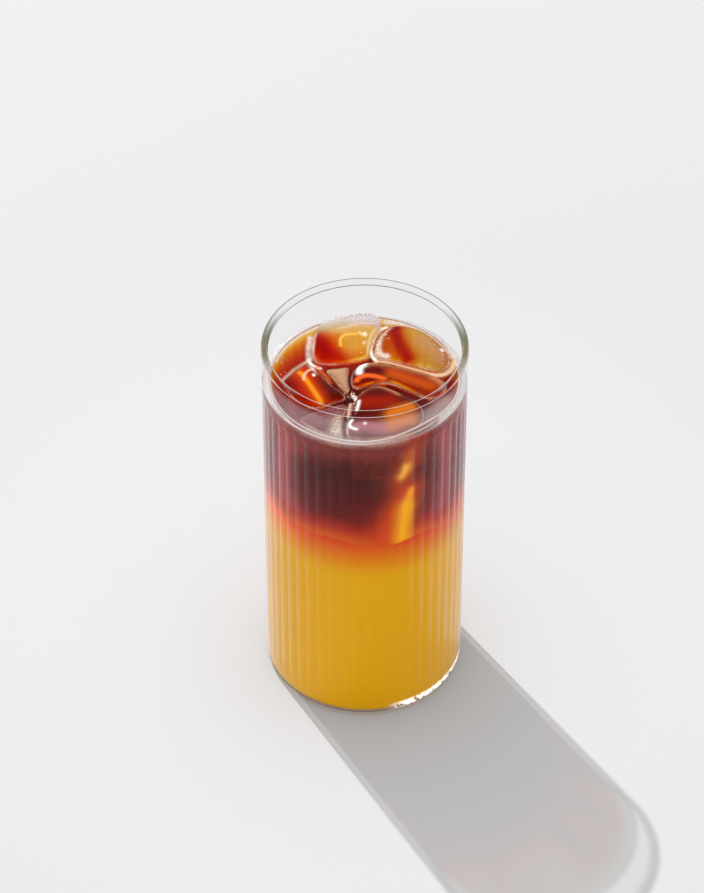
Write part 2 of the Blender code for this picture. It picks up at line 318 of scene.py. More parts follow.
# The rim and the foot, with their painted edge lines, olive shade and sparks
RIM_START = (0.1326, 0.1330)
RIM_TOP = HEIGHT - 0.0009
RIM_EDGE = 0.85
RIM_LINE = 0.1333
RIM_LINE_HALF = 0.00016
OLIVE_SHADE_TURN = (0.42, 0.85)
FOOT_TOP = (0.0036, 0.0030)
FOOT_TURN = (0.60, 0.74)
FOOT_EDGE = 0.7
SPARK_TOP = (0.0050, 0.0040)
SPARK_TURN = (0.26, 0.40)
SPARK_SCALE = 750.0
SPARK_GLOW = 1.3

# What the glass leaves of the light that makes the shadow: through the drink, the open glass, the rim
DRINK_SHADE = (0.3, 0.3, 0.3, 1.0)
OPEN_SHADE = (0.82, 0.82, 0.84, 1.0)
RIM_SHADE = (0.3, 0.3, 0.3, 1.0)
SHADE_START = (0.1225, 0.1205)

# The finishes of the glass and the drink
WHITE = (1.0, 1.0, 1.0, 1.0)
GLASS_SHINE = 0.1
WET_SHINE = 0.12
COFFEE_TINT = (0.9385, 0.70, 0.0, 1.0)
COFFEE_DENSITY = 600.0
RIPPLE_SCALE = 1500.0
UNEVEN_SCALE = 160.0
JUICE_BLEND = (0.063, 0.0785)
JUICE_GLOW = 0.10
GRAIN_SCALE = 1500.0
GRAIN_LEAST = 0.45
PAINTED_LIGHT_GLOW = 0.15

# The studio
STUDIO_LIGHT = 0.73
LAMP_STRENGTH = 22.5
LAMP_RADIUS = 0.009
LAMP_PLACE = (-0.503, 0.795, 1.300)
# the board is painted lighter within these distances of the glass, against the shade it casts from the sky
BOARD_LIT_NEAR = (0.22, 0.06)
CAMERA_LENS = 147.7
CAMERA_PLACE = (-0.0040, -0.86223, 0.88802)
CAMERA_DOWN = 42.74


def smooth_step(value, low, high):
    share = np.clip((value - low) / (high - low), 0.0, 1.0)
    return share * share * (3 - 2 * share)


def deselect_all():
    if bpy.context.object is not None and bpy.context.object.mode != "OBJECT":
        bpy.ops.object.mode_set(mode="OBJECT")
    bpy.ops.object.select_all(action="DESELECT")


def pick(piece):
    deselect_all()
    piece.select_set(True)
    bpy.context.view_layer.objects.active = piece
    return piece


def points_of(piece):
    flat = np.empty(len(piece.data.vertices) * 3)
    piece.data.vertices.foreach_get("co", flat)
    return flat.reshape(-1, 3)


def move_points(piece, points):
    piece.data.vertices.foreach_set("co", points.ravel())
    piece.data.update()


def apply_all(piece):
    pick(piece)
    for modifier in list(piece.modifiers):
        bpy.ops.object.modifier_apply(modifier=modifier.name)
    return piece


def arc(centre_x, centre_z, radius, start, end, steps):
    """Profile points round part of a circle, angles in degrees from outwards towards up."""
    angles = [radians(start + (end - start) * i / steps) for i in range(steps + 1)]
    return [(centre_x + radius * cos(a), centre_z + radius * sin(a)) for a in angles]


def draw_round(name, profile, segments):
    """Draws a circle out ring by ring along a profile of (radius, height) points, and closes both ends."""
    deselect_all()
    radius, height = profile[0]
    bpy.ops.mesh.primitive_circle_add(vertices=segments, radius=radius, location=(0, 0, height))
    piece = bpy.context.object
    piece.name = piece.data.name = name
    bpy.ops.object.transform_apply(location=True, rotation=True, scale=True)
    bpy.ops.object.mode_set(mode="EDIT")
    bpy.ops.mesh.select_all(action="SELECT")
    for (radius, height), (next_radius, next_height) in zip(profile, profile[1:]):
        bpy.ops.mesh.extrude_region_move(TRANSFORM_OT_translate={"value": (0, 0, next_height - height)})
        share = next_radius / radius
        bpy.ops.transform.resize(value=(share, share, 1), center_override=(0, 0, 0))
    bpy.ops.mesh.select_all(action="SELECT")
    bpy.ops.mesh.fill_holes(sides=0)
    bpy.ops.mesh.select_all(action="SELECT")
    bpy.ops.mesh.normals_make_consistent(inside=False)
    bpy.ops.object.mode_set(mode="OBJECT")
    bpy.ops.object.shade_smooth()
    return piece


def glass_profile():
    """From the middle of the base out round the heel, up the outside, over the rim and down the inside."""
    rim = RIM_THICKNESS / 2
    base = [(r * MM, 0.0) for r in (8, 18, 26)]
    outer_heel = arc(OUTER_RADIUS - OUTER_HEEL, OUTER_HEEL, OUTER_HEEL, -90, 0, 10)
    fades = [RIB_BOTTOM, *(RIB_BOTTOM + RIB_FADE * s for s in (0.25, 0.5, 0.75, 1.0))]
    fades += [0.04, 0.06, 0.08, 0.1]
    fades += [RIB_TOP - RIB_FADE * s for s in (1.0, 0.75, 0.5, 0.25, 0.0)]
    outer_wall = [(OUTER_RADIUS, z) for z in fades]
    upper = [(OUTER_RADIUS, 0.124), (OUTER_RADIUS, 0.129)]
    rim_round = arc(OUTER_RADIUS - rim, HEIGHT - rim, rim, 0, 180, 14)
    blend = [(INNER_RADIUS + 0.0001, HEIGHT - RIM_BLEND * 0.6)]
    inner_wall = [(INNER_RADIUS, z) for z in (HEIGHT - RIM_BLEND, 0.12, 0.1, 0.06, 0.03)]
    inner_heel = arc(INNER_RADIUS - INNER_HEEL, BASE_THICKNESS + INNER_HEEL, INNER_HEEL, 0, -90, 10)
    floor = [(r * MM, BASE_THICKNESS) for r in (20, 8)]
    return [*base, *outer_heel, *outer_wall, *upper, *rim_round, *blend, *inner_wall, *inner_heel, *floor]


def make_glass():
    glass = draw_round("ribbed_glass", glass_profile(), RIB_COUNT * SEGMENTS_PER_RIB)
    points = points_of(glass)
    across = np.hypot(points[:, 0], points[:, 1])
    angle = np.arctan2(points[:, 1], points[:, 0])
    fade = smooth_step(points[:, 2], RIB_BOTTOM, RIB_BOTTOM + RIB_FADE)
    fade *= 1 - smooth_step(points[:, 2], RIB_TOP - RIB_FADE, RIB_TOP)
    sink = RIB_DEPTH * fade * (1 - np.abs(np.cos(RIB_COUNT * angle / 2)))
    outside = across > (OUTER_RADIUS + INNER_RADIUS) / 2
    points[outside, :2] *= (1 - sink / np.maximum(across, MM))[outside, None]
    move_points(glass, points)
    pick(glass)
    bpy.ops.object.shade_smooth_by_angle(angle=radians(22))
    return glass


def layer_height(x, y):
    """Where the coffee lies on the juice: lower on the right, with slow waves."""
    wave = noise.noise(Vector((x, y, 0.0)) / INNER_RADIUS * 1.6)
    return LAYER_LEVEL + LAYER_TILT * x + 2 * LAYER_WAVE * wave


def make_juice():
    """The juice from the bottom of the glass up to the wavy layer line."""
    radius, floor = INNER_RADIUS + SOAK, JUICE_FLOOR
    heel = arc(radius - JUICE_HEEL, floor + JUICE_HEEL, JUICE_HEEL, -90, 0, 8)
    wall = [(radius, z) for z in (0.02, 0.04, 0.06, LAYER_LEVEL)]
    top = [(radius * (1 - i / LAYER_RINGS), LAYER_LEVEL) for i in range(1, LAYER_RINGS)]
    profile = [(0.004, floor), (0.014, floor), *heel, *wall, *top]
    juice = draw_round("orange_juice_body", profile, DRINK_SEGMENTS // 3)
    points = points_of(juice)
    for point in points:
        if point[2] > LAYER_LEVEL - MM:
            point[2] = layer_height(point[0], point[1])
    move_points(juice, points)
    return juice


def on_curve(points, place):
    """A point of the smooth closed curve through the points, place counted in points."""
    step = int(place)
    a, b, c, d = [Vector(points[(step + i) % len(points)]) for i in (-1, 0, 1, 2)]
    t = place - step
    return 0.5 * (2 * b + (c - a) * t + (2 * a - 5 * b + 4 * c - d) * t**2 + (3 * b - a - 3 * c + d) * t**3)


def round_cage(across, back):
    """How far round the cage from its back left corner a point lies, 0 to 4, and how far out."""
    out = max(abs(across), abs(back))
    if out < 1e-6:
        return 0.0, 0.0
    across, back = across / out, back / out
    if back > 0.9999:
        return (across + 1) / 2, out
    if across > 0.9999:
        return 1 + (1 - back) / 2, out
    if back < -0.9999:
        return 2 + (1 - across) / 2, out
    return (3 + (back + 1) / 2) % 4, out


def ice_point(grid, seed, outline, tops, foot, square):
    """A point of a melted cube: its melted outline, a round top edge, slimmer towards the foot."""
    around, out = round_cage(grid.x, grid.y)
    out = out if out > 0.9 else out * 1.25 if out > 0.5 else out * 1.15
    rise = grid.z if abs(grid.z) > 0.9 else grid.z * 1.3
    norm = (abs(out) ** square + abs(rise) ** square) ** (1 / square)
    out, up = out / norm, (rise / norm + 1) / 2
    middle = sum((Vector(p) for p in outline), Vector((0, 0))) / len(outline)
    edge = on_curve(outline, around * len(outline) / 4)
    place = middle + (edge - middle) * out * (1 - ICE_TAPER * (1 - up))
    side, share = int(around) % 4, around % 1
    rim = tops[side] + (tops[(side + 1) % 4] - tops[side]) * share
    top = sum(tops) / 4 * (1 - out) + rim * out
    point = Vector((place.x, place.y, foot + (top - foot) * up)) * MM
    dent = noise.noise(point / ICE_DENT_SPACING + Vector((seed, 2 * seed, 0.0)))
    outwards = Vector((place.x - middle.x, place.y - middle.y, (up - 0.5) * 20)).normalized()
    return point + outwards * ICE_DENT * (dent - 0.5)


def off_stroke(points, stroke):
    """How far each point lies from a bent stroke through three places, as seen from above."""
    start, bend, end = [np.array(p) for p in stroke]
    handle = 2 * bend - (start + end) / 2
    shares = np.linspace(0, 1, 13)[:, None]
    line = (1 - shares) ** 2 * start + 2 * shares * (1 - shares) * handle + shares**2 * end
    nearest = np.full(len(points), np.inf)
    for first, second in zip(line, line[1:]):
        along = second - first
        share = np.clip(((points - first) @ along) / max(along @ along, 1e-9), 0, 1)
        nearest = np.minimum(nearest, np.linalg.norm(points - first - share[:, None] * along, axis=1))
    return nearest


def paint(piece, marks, upper):
    """Tints of painted shade and glow, and covers of frost, froth and painted light, as colours of the
    points, for the finish to read.
    """
    points = points_of(piece)[:, :2] / MM
    tint_and_shade, haze_and_painted_light, cover = np.ones((len(points), 4)), np.ones((len(points), 4)), np.zeros(len(points))
    for kind, stroke, width, colour, strength in marks:
        falloff = 3 if width < 2 else 2.2
        share = strength * upper * np.exp(-((off_stroke(points, stroke) / width) ** falloff))
        colour = np.array(linear(colour)[:3])
        # tints multiply what shows through: painted shade and glow, partly the coffee's colour
        if kind == "tint_and_shade":
            tint_and_shade[:, :3] *= np.maximum(colour, 0.002) ** (1.8 * share[:, None])
        else:
            total = share + cover * (1 - share)
            shade = np.array([*colour[:3], 1.0 if kind == "frost_and_painted_light" else 0.0])
            haze_and_painted_light += (share / np.maximum(total, 1e-6))[:, None] * (shade - haze_and_painted_light)
            cover = total
    for title, values in (("tint_and_shade", tint_and_shade), ("haze_and_painted_light", haze_and_painted_light)):
        layer = piece.data.attributes.new(title, "FLOAT_COLOR", "POINT")
        layer.data.foreach_set("color", values.ravel())
    piece.data.attributes.new("cover", "FLOAT", "POINT").data.foreach_set("value", cover)


def make_ice(name, seed, **form):
    deselect_all()
    bpy.ops.mesh.primitive_cube_add(size=2.0, location=(0, 0, 0))
    ice = bpy.context.object
    ice.name = ice.data.name = name
    bpy.ops.object.mode_set(mode="EDIT")
    bpy.ops.mesh.select_all(action="SELECT")
    bpy.ops.mesh.subdivide(number_cuts=ICE_CUTS)
    bpy.ops.object.mode_set(mode="OBJECT")
    for vertex in ice.data.vertices:
        vertex.co = ice_point(vertex.co, seed, **form)
    melt = ice.modifiers.new("Melt", "SUBSURF")
    melt.levels = melt.render_levels = ICE_SMOOTHING
    apply_all(ice)
    pick(ice)
    bpy.ops.object.mode_set(mode="EDIT")
    bpy.ops.mesh.select_all(action="SELECT")
    bpy.ops.mesh.normals_make_consistent(inside=False)
    bpy.ops.object.mode_set(mode="OBJECT")
    bpy.ops.object.shade_smooth()
    paint(ice, MARKS[name.removesuffix("_melting")], smooth_step(points_of(ice)[:, 2], *ICE_MARKED))
    return ice


def tree_of(piece):
    return BVHTree.FromPolygons(
        [v.co for v in piece.data.vertices], [tuple(p.vertices) for p in piece.data.polygons]
    )


def surface_height(x, y, angle, ice_trees):
    """The coffee's surface: it climbs the glass all round, higher at the front right, and every cube."""
    to_wall = INNER_RADIUS + SOAK - np.hypot(x, y)
    turn = (angle - SWELL_ANGLE + pi) % (2 * pi) - pi
    rise = WALL_RISE + SWELL_RISE * np.exp(-((turn / SWELL_WIDTH) ** 2))
    height = LIQUID_LEVEL + climb(to_wall, rise, WALL_REACH)
    point = Vector((x, y, LIQUID_LEVEL + 0.0003))
    for tree in ice_trees:
        distance = tree.find_nearest(point)[3]
        height += climb(distance, ICE_RISE, ICE_REACH)
    return height


def climb(distance, rise, reach):
    """How high a liquid stands at a distance from what it wets: a round fillet, steep at the wall."""
    share = min(1.0, max(0.0, distance / reach))
    return rise * (1 - (1 - (1 - share) ** 2) ** 0.5)


def make_coffee(ices):
    """The coffee from the layer line up to its surface, with a hollow for every cube."""
    radius = INNER_RADIUS + SOAK
    top = [(radius * i / TOP_RINGS, LIQUID_LEVEL) for i in range(1, TOP_RINGS + 1)]
    rows = np.linspace(LIQUID_LEVEL, LAYER_LEVEL, COFFEE_ROWS + 1)[1:]
    wall = [(radius, float(z)) for z in rows]
    below = [(radius * (1 - i / LAYER_RINGS), LAYER_LEVEL) for i in range(1, LAYER_RINGS)]
    coffee = draw_round("coffee_body", [*top, *wall, *below], DRINK_SEGMENTS)
    trees = [tree_of(ice) for ice in ices]
    points = points_of(coffee)
    lips = np.zeros(len(points))
    for i, point in enumerate(points):
        x, y, z = point
        if z > LIQUID_LEVEL - MM:
            point[2] = surface_height(x, y, np.arctan2(y, x), trees)
            near = min(tree.find_nearest(Vector((x, y, LIQUID_LEVEL + 0.0003)))[3] for tree in trees)
            lips[i] = 1 - smooth_step(near, LIP_FULL, LIP_END)
        else:
            share = (LIQUID_LEVEL - z) / (LIQUID_LEVEL - LAYER_LEVEL)
            point[2] += share * (layer_height(x, y) - SOAK - LAYER_LEVEL)
    move_points(coffee, points)
    coffee.data.attributes.new("lip", "FLOAT", "POINT").data.foreach_set("value", lips)
    paint(coffee, MARKS["coffee"], (points[:, 2] > LIQUID_LEVEL - MM).astype(float))
    light_wall(coffee, points)
    hollows = bpy.data.collections.new("hollows")
    bpy.context.scene.collection.children.link(hollows)
    for ice in ices:
        hollow = bpy.data.objects.new(ice.name + "_hollow", ice.data.copy())
        hollows.objects.link(hollow)
        coarser = hollow.modifiers.new("Coarser", "DECIMATE")
        coarser.decimate_type, coarser.iterations = "UNSUBDIV", 2
        shrink = hollow.modifiers.new("Shrink", "DISPLACE")
        shrink.strength, shrink.mid_level = -WET_OVERLAP, 0.0
    cut = coffee.modifiers.new("Hollows", "BOOLEAN")
    cut.operation, cut.operand_type, cut.collection = "DIFFERENCE", "COLLECTION", hollows
    cut.solver = "MANIFOLD"
    apply_all(coffee)
    for hollow in list(hollows.objects):
        bpy.data.objects.remove(hollow, do_unlink=True)
    bpy.data.collections.remove(hollows)
    pick(coffee)
    bpy.ops.object.shade_smooth_by_angle(angle=radians(30))
    return coffee


def light_wall(coffee, points):
    """Light in the coffee at the glass: where the juice clouds it, and where ice lets daylight down."""
    turn = np.degrees(np.arctan2(points[:, 1], points[:, 0]))
    at_wall = np.hypot(points[:, 0], points[:, 1]) > INNER_RADIUS
    layer = np.array([layer_height(x, y) for x, y in points[:, :2]])
    cover = 0.9 * (1 - smooth_step(points[:, 2] - layer, MM, MIXING_DEPTH))
    low, high = np.array(linear("#C85008")[:3]), np.array(linear("#AE2808")[:3])
    colour = low + (high - low) * smooth_step(points[:, 2] - layer, 0.0, 0.006)[:, None]
    length = radians(1) * INNER_RADIUS / MM
    flat = np.column_stack([turn * length, points[:, 2] / MM])
    for stroke, width, shade, strength in GLOWS:
        stroke = [(t * length, z) for t, z in stroke]
        share = strength * np.exp(-((off_stroke(flat, stroke) / width) ** 2))
        total = share + cover * (1 - share)
        colour += (share / np.maximum(total, 1e-6))[:, None] * (np.array(linear(shade)[:3]) - colour)
        cover = total
    glow = coffee.data.attributes.new("glow", "FLOAT_COLOR", "POINT")
    glow.data.foreach_set("color", np.column_stack([colour, np.ones(len(points))]).ravel())
    coffee.data.attributes.new("glowing", "FLOAT", "POINT").data.foreach_set("value", cover * at_wall)


def make_beads(name, beads):
    """Small round beads of air or light, each where it is listed: (x, y, z, radius)."""
    pieces = []
    for x, y, z, radius in beads:
        deselect_all()
        bpy.ops.mesh.primitive_ico_sphere_add(subdivisions=2, radius=radius, location=(x, y, z))
        pieces.append(bpy.context.object)
    deselect_all()
    for piece in pieces:
        piece.select_set(True)
    bpy.context.view_layer.objects.active = pieces[0]
    bpy.ops.object.join()
    joined = bpy.context.object
    joined.name = joined.data.name = name
    bpy.ops.object.transform_apply(location=True, rotation=True, scale=True)
    bpy.ops.object.shade_smooth()
    return joined


def bubble_places(trees):
    """Bubbles gather in rows and clusters where cubes meet the coffee and along the glass."""
    chance = random.Random(7)
    beads = []
    for x, y, spread_x, spread_y, count in BUBBLE_CLUSTERS:
        for _ in range(count):
            east, north = (chance.gauss(x, spread_x) * MM, chance.gauss(y, spread_y) * MM)
            if np.hypot(east, north) > INNER_RADIUS - 0.0008:
                continue
            radius = chance.uniform(0.00014, 0.00032)
            hits = [t.ray_cast(Vector((east, north, HEIGHT)), Vector((0, 0, -1)))[0] for t in trees]
            top = max([hit.z for hit in hits if hit is not None and hit.z > LIQUID_LEVEL] or [0.0])
            level = top or surface_height(east, north, np.arctan2(north, east), trees)
            beads.append((east, north, level, radius))
    return beads


def make_waterline():
    """A pale ring painted as a highlight: the bright line where the coffee meets the glass, higher at the
    front right.
    """
    deselect_all()
    bpy.ops.mesh.primitive_torus_add(
        major_radius=INNER_RADIUS - LINE_RADIUS * 0.8,
        minor_radius=LINE_RADIUS,
        major_segments=DRINK_SEGMENTS,
        minor_segments=8,
        location=(0, 0, 0),
    )
    line = bpy.context.object
    line.name = line.data.name = "waterline"
    points = points_of(line)
    for point in points:
        turn = (np.arctan2(point[1], point[0]) - SWELL_ANGLE + pi) % (2 * pi) - pi
        rise = WALL_RISE + SWELL_RISE * np.exp(-((turn / SWELL_WIDTH) ** 2))
        point[2] += LIQUID_LEVEL + rise - LINE_RADIUS * 0.5
    move_points(line, points)
    pick(line)
    bpy.ops.object.shade_smooth()
    return line


def linear(code, alpha=1.0):
    """An sRGB hex colour as the linear colour that Blender's sockets take."""
    shares = [int(code[i : i + 2], 16) / 255 for i in (1, 3, 5)]
    return (*[s / 12.92 if s <= 0.04045 else ((s + 0.055) / 1.055) ** 2.4 for s in shares], alpha)


def new_finish(name):
    finish = bpy.data.materials.new(name)
    finish.use_nodes = True
    finish.node_tree.nodes.clear()
    return finish


def add(finish, kind, *inputs, **settings):
    """Adds a shader node, sets its properties, and fills or links its inputs, in order or from a dict."""
    node = finish.node_tree.nodes.new("ShaderNode" + kind)
    for name, value in settings.items():
        setattr(node, name, value)
    named = inputs and isinstance(inputs[0], dict)
    for key, value in inputs[0].items() if named else enumerate(inputs):
        if isinstance(value, bpy.types.Node):
            value = value.outputs[0]
        if isinstance(value, bpy.types.NodeSocket):
            finish.node_tree.links.new(value, node.inputs[key])
        else:
            node.inputs[key].default_value = value
    return node


def lets_light_in(finish, shader, tint=WHITE):
    """Light for what lies inside passes straight through the surface instead of being lost in it."""
    path = add(finish, "LightPath")
    shadow, diffuse = path.outputs["Is Shadow Ray"], path.outputs["Is Diffuse Ray"]
    through = add(finish, "Math", shadow, diffuse, operation="MAXIMUM")
    clear = add(finish, "BsdfTransparent", {"Color": tint})
    return add(finish, "MixShader", through, shader, clear)


def sidelong(finish, level, normal):
    """How far a place on the glass is turned aside, up to 1 at its edge, the same from any height."""
    ahead = add(finish, "LayerWeight", {"Blend": 0.5, **normal}).outputs["Facing"]
    ahead = add(finish, "Math", 1.0, ahead, operation="SUBTRACT")
    ahead = add(finish, "Math", ahead, level, operation="DIVIDE", use_clamp=True)
    ahead = add(finish, "Math", ahead, LOOK_SLOPE, operation="MULTIPLY")
    ahead = add(finish, "Math", ahead, LOOK_FADE, operation="POWER")
    return add(finish, "Math", 1.0, ahead, operation="SUBTRACT")


def glass_places(finish):
    """Where on the glass a place lies and how it is seen, for the parts of its finish."""
    at = SimpleNamespace()
    at.place = add(finish, "TexCoord").outputs["Object"]
    at.right, at.back, at.height = add(finish, "SeparateXYZ", at.place).outputs
    flat = add(finish, "VectorMath", at.place, (1.0, 1.0, 0.0), operation="MULTIPLY")
    at.across = add(finish, "VectorMath", flat, operation="LENGTH").outputs["Value"]
    at.outside = add(finish, "Math", at.across, WALL_MIDDLE, operation="GREATER_THAN")
    at.behind = add(finish, "NewGeometry").outputs["Backfacing"]
    at.front = add(finish, "MapRange", at.back, *FRONT_SIDE, **SOFT)
    at.below = add(finish, "MapRange", at.height, *FOG_END, **SOFT)
    at.on_rim = add(finish, "MapRange", at.height, *RIM_START, **SOFT)
    at.turned = add(finish, "LayerWeight", {"Blend": 0.5}).outputs["Facing"]

    upright = add(finish, "CombineXYZ", {2: 1.0})
    down = add(finish, "LayerWeight", {"Blend": 0.5, "Normal": upright}).outputs["Facing"]
    level = add(finish, "Math", 2.0, down, operation="SUBTRACT")
    level = add(finish, "Math", level, down, operation="MULTIPLY")
    level = add(finish, "Math", level, operation="SQRT")
    outwards = add(finish, "VectorMath", flat, operation="NORMALIZE")
    at.aside = sidelong(finish, level, {"Normal": outwards})
    at.ribs_aside = sidelong(finish, level, {})
    return at


def fogged(finish, at, glass):
    """Fog outside where the drink is cold and clear: the studio's light comes in as an even glow."""
    at.fog = add(finish, "MapRange", at.height, *FOG_START, **SOFT)
    for share in (at.below, at.outside):
        at.fog = add(finish, "Math", at.fog, share, operation="MULTIPLY")
    inwards = at.fog
    for share in (at.behind, FOG_INSIDE):
        inwards = add(finish, "Math", inwards, share, operation="MULTIPLY")
    milk = add(finish, "BsdfTranslucent", {"Color": WHITE})
    return add(finish, "MixShader", inwards, glass, milk)


def seen_through(finish, at, glass):
    """Above the drink the walls run side by side, so light goes straight through both. Where the drink wets
    the glass it goes straight on into the drink. The rim is clear too, with painted olive shade along its
    sides where it is seen turned aside."""
    limits = [
        add(finish, "MapRange", at.behind, 0.0, 1.0, *heights) for heights in (OPEN_INSIDE, OPEN_OUTSIDE)
    ]
    limit = add(finish, "Mix", {0: at.outside, 2: limits[0], 3: limits[1]}, data_type="FLOAT")
    bare = add(finish, "Math", at.height, limit, operation="GREATER_THAN")
    wetted = add(finish, "Math", at.across, WALL_MIDDLE, operation="LESS_THAN")
    low = add(finish, "Math", at.height, COFFEE_EDGE, operation="LESS_THAN")
    up = add(finish, "Math", at.height, BASE_THICKNESS - 0.0001, operation="GREATER_THAN")
    for share in (low, up):
        wetted = add(finish, "Math", wetted, share, operation="MULTIPLY")
    straight = add(finish, "Math", bare, wetted, operation="MAXIMUM")
    olive_shade = add(finish, "MapRange", at.aside, *OLIVE_SHADE_TURN, **SOFT)
    olive_shade = add(finish, "Math", olive_shade, at.on_rim, operation="MULTIPLY")
    olive_shade = add(finish, "Mix", {0: olive_shade, 6: linear("#FDFDFD"), 7: linear("#8C8868")}, data_type="RGBA")
    through = add(finish, "BsdfTransparent", {"Color": olive_shade.outputs[2]})
    return add(finish, "MixShader", straight, glass, through)


def veiled(finish, at, glass):
    """A thin veil of tiny drops, thicker in specks; a painted sheen for reflections where the glass is seen
    at a slant, stronger on the lamp's side, the left; and a painted sheen on the front above the drink.
    """
    specks = add(finish, "TexVoronoi", {"Vector": at.place, "Scale": SPECK_SCALE, "Randomness": 1.0})
    specks = add(finish, "MapRange", specks.outputs["Distance"], *SPECK_SIZE, **SOFT)
    patches = add(finish, "TexNoise", {"Vector": at.place, "Scale": PATCH_SCALE, "Detail": 3.0})
    patches = add(finish, "MapRange", patches.outputs["Fac"], 0.42, 0.68, **SOFT)
    for share in (patches, SPECK_VEIL):
        specks = add(finish, "Math", specks, share, operation="MULTIPLY")
    veil = add(finish, "Math", specks, FOG_OUTSIDE, operation="ADD")
    veil = add(finish, "Math", veil, at.fog, operation="MULTIPLY")

    # painted sheen: a pale reflection where the glass is seen at a slant, stronger on the lamp's side
    slant_sheen = add(finish, "Mix", {0: RIB_SHARE, 2: at.aside, 3: at.ribs_aside}, data_type="FLOAT")
    slant_sheen = add(finish, "Math", slant_sheen, SLANT_POWER, operation="POWER")
    lamp_side_sheen = add(finish, "MapRange", at.right, 0.03, -0.03, 0.85, 1.6)
    for share in (SLANT_SHEEN, lamp_side_sheen, at.below, at.outside):
        slant_sheen = add(finish, "Math", slant_sheen, share, operation="MULTIPLY")
    veil = add(finish, "Math", veil, slant_sheen, operation="ADD")

    # painted sheen on the front above the drink
    front_sheen = add(finish, "MapRange", at.height, *FRONT_SHEEN_START, **SOFT)
    front_sheen_end = add(finish, "MapRange", at.height, *FRONT_SHEEN_END, **SOFT)
    for share in (front_sheen_end, at.outside, at.front, FRONT_SHEEN):
        front_sheen = add(finish, "Math", front_sheen, share, operation="MULTIPLY")
    veil = add(finish, "Math", veil, front_sheen, operation="ADD", use_clamp=True)
    drops_and_sheen = add(finish, "BsdfDiffuse", {"Color": linear("#F8EEF2")})
    return add(finish, "MixShader", veil, glass, drops_and_sheen)


def edged(finish, at, glass):
    """Painted lines where the round rim and the foot turn away: painted shade, grey, behind, a painted
    highlight, pale, in front, and painted olive shade below.
    """
    start = add(finish, "MapRange", at.front, 0.0, 1.0, 0.34, 0.50)
    end = add(finish, "MapRange", at.front, 0.0, 1.0, 0.52, 0.66)
    edge = add(finish, "MapRange", at.turned, start, end, **SOFT)
    top = add(finish, "Math", at.height, RIM_TOP, operation="GREATER_THAN")
    top = add(finish, "Math", top, at.front, operation="MAXIMUM")
    for share in (at.on_rim, top):
        edge = add(finish, "Math", edge, share, operation="MULTIPLY")

    # under the rim: outside in front, inside behind
    under = add(finish, "Math", at.height, RIM_LINE, RIM_LINE_HALF, operation="COMPARE")
    rim_middle = OUTER_RADIUS - RIM_THICKNESS / 2
    outer = add(finish, "Math", at.across, rim_middle, operation="GREATER_THAN")
    near = add(finish, "Math", at.front, 0.5, operation="GREATER_THAN")
    same = add(finish, "Math", outer, near, 0.5, operation="COMPARE")
    under = add(finish, "Math", under, same, operation="MULTIPLY")
    edge = add(finish, "Math", edge, under, operation="MAXIMUM")
    edge = add(finish, "Math", edge, RIM_EDGE, operation="MULTIPLY")

    low = add(finish, "MapRange", at.height, *FOOT_TOP, **SOFT)
    foot = add(finish, "MapRange", at.turned, *FOOT_TURN, **SOFT)
    for share in (low, FOOT_EDGE):
        foot = add(finish, "Math", foot, share, operation="MULTIPLY")
    edge = add(finish, "Math", edge, foot, operation="MAXIMUM")
    colour = add(finish, "Mix", {0: at.front, 6: linear("#84827E"), 7: linear("#F4DCD8")}, data_type="RGBA")
    colour = add(finish, "Mix", {0: low, 6: colour.outputs[2], 7: linear("#6A6438")}, data_type="RGBA")
    line = add(finish, "BsdfDiffuse", {"Color": colour.outputs[2]})
    return add(finish, "MixShader", edge, glass, line)


def sparkling(finish, at, glass):
    """Painted sparks in the heel, on the side away from the lamp: a glow that stands for light the glass
    gathers there.
    """
    sparks = add(finish, "MapRange", at.turned, *SPARK_TURN, **SOFT)
    heel = add(finish, "MapRange", at.height, *SPARK_TOP, **SOFT)
    right = add(finish, "MapRange", at.right, 0.007, 0.014, **SOFT)
    front = add(finish, "MapRange", at.back, -0.002, -0.008, **SOFT)
    ragged = add(finish, "TexNoise", {"Vector": at.place, "Scale": SPARK_SCALE, "Detail": 2.0})
    ragged = add(finish, "MapRange", ragged.outputs["Fac"], 0.42, 0.50, **SOFT)
    for share in (heel, right, front, ragged):
        sparks = add(finish, "Math", sparks, share, operation="MULTIPLY")
    light = add(finish, "Emission", {"Color": linear("#FFF4E4"), "Strength": SPARK_GLOW})
    return add(finish, "MixShader", sparks, glass, light)


def glass_shade(finish, at):
    """What the glass leaves of light: little where it has crossed the whole drink, which bends it aside."""
    crossed = add(finish, "Math", 1.0, at.behind, operation="SUBTRACT")
    full = add(finish, "MapRange", at.height, *SHADE_START, **SOFT)
    for share in (full, at.outside):
        crossed = add(finish, "Math", crossed, share, operation="MULTIPLY")
    tint = add(finish, "Mix", {0: crossed, 6: OPEN_SHADE, 7: DRINK_SHADE}, data_type="RGBA")
    tint = add(finish, "Mix", {0: at.on_rim, 6: tint.outputs[2], 7: RIM_SHADE}, data_type="RGBA")
    return tint.outputs[2]


def glass_finish():
    """Soda-lime glass, pressed: clear and very smooth, fogged outside by the cold drink."""
    finish = new_finish("soda_lime_glass")
    at = glass_places(finish)
    glass = add(
        finish,
        "BsdfPrincipled",
        {
            "Base Color": linear("#FBFDFC"),
            "Roughness": 0.0,
            "IOR": 1.5,
            "Specular Tint": (GLASS_SHINE, GLASS_SHINE, GLASS_SHINE, 1.0),
            "Transmission Weight": 1.0,
        },
    )
    for layer in (fogged, seen_through, veiled, edged, sparkling):
        glass = layer(finish, at, glass)
    surface = lets_light_in(finish, glass, glass_shade(finish, at))
    add(finish, "OutputMaterial", {"Surface": surface})
    return finish


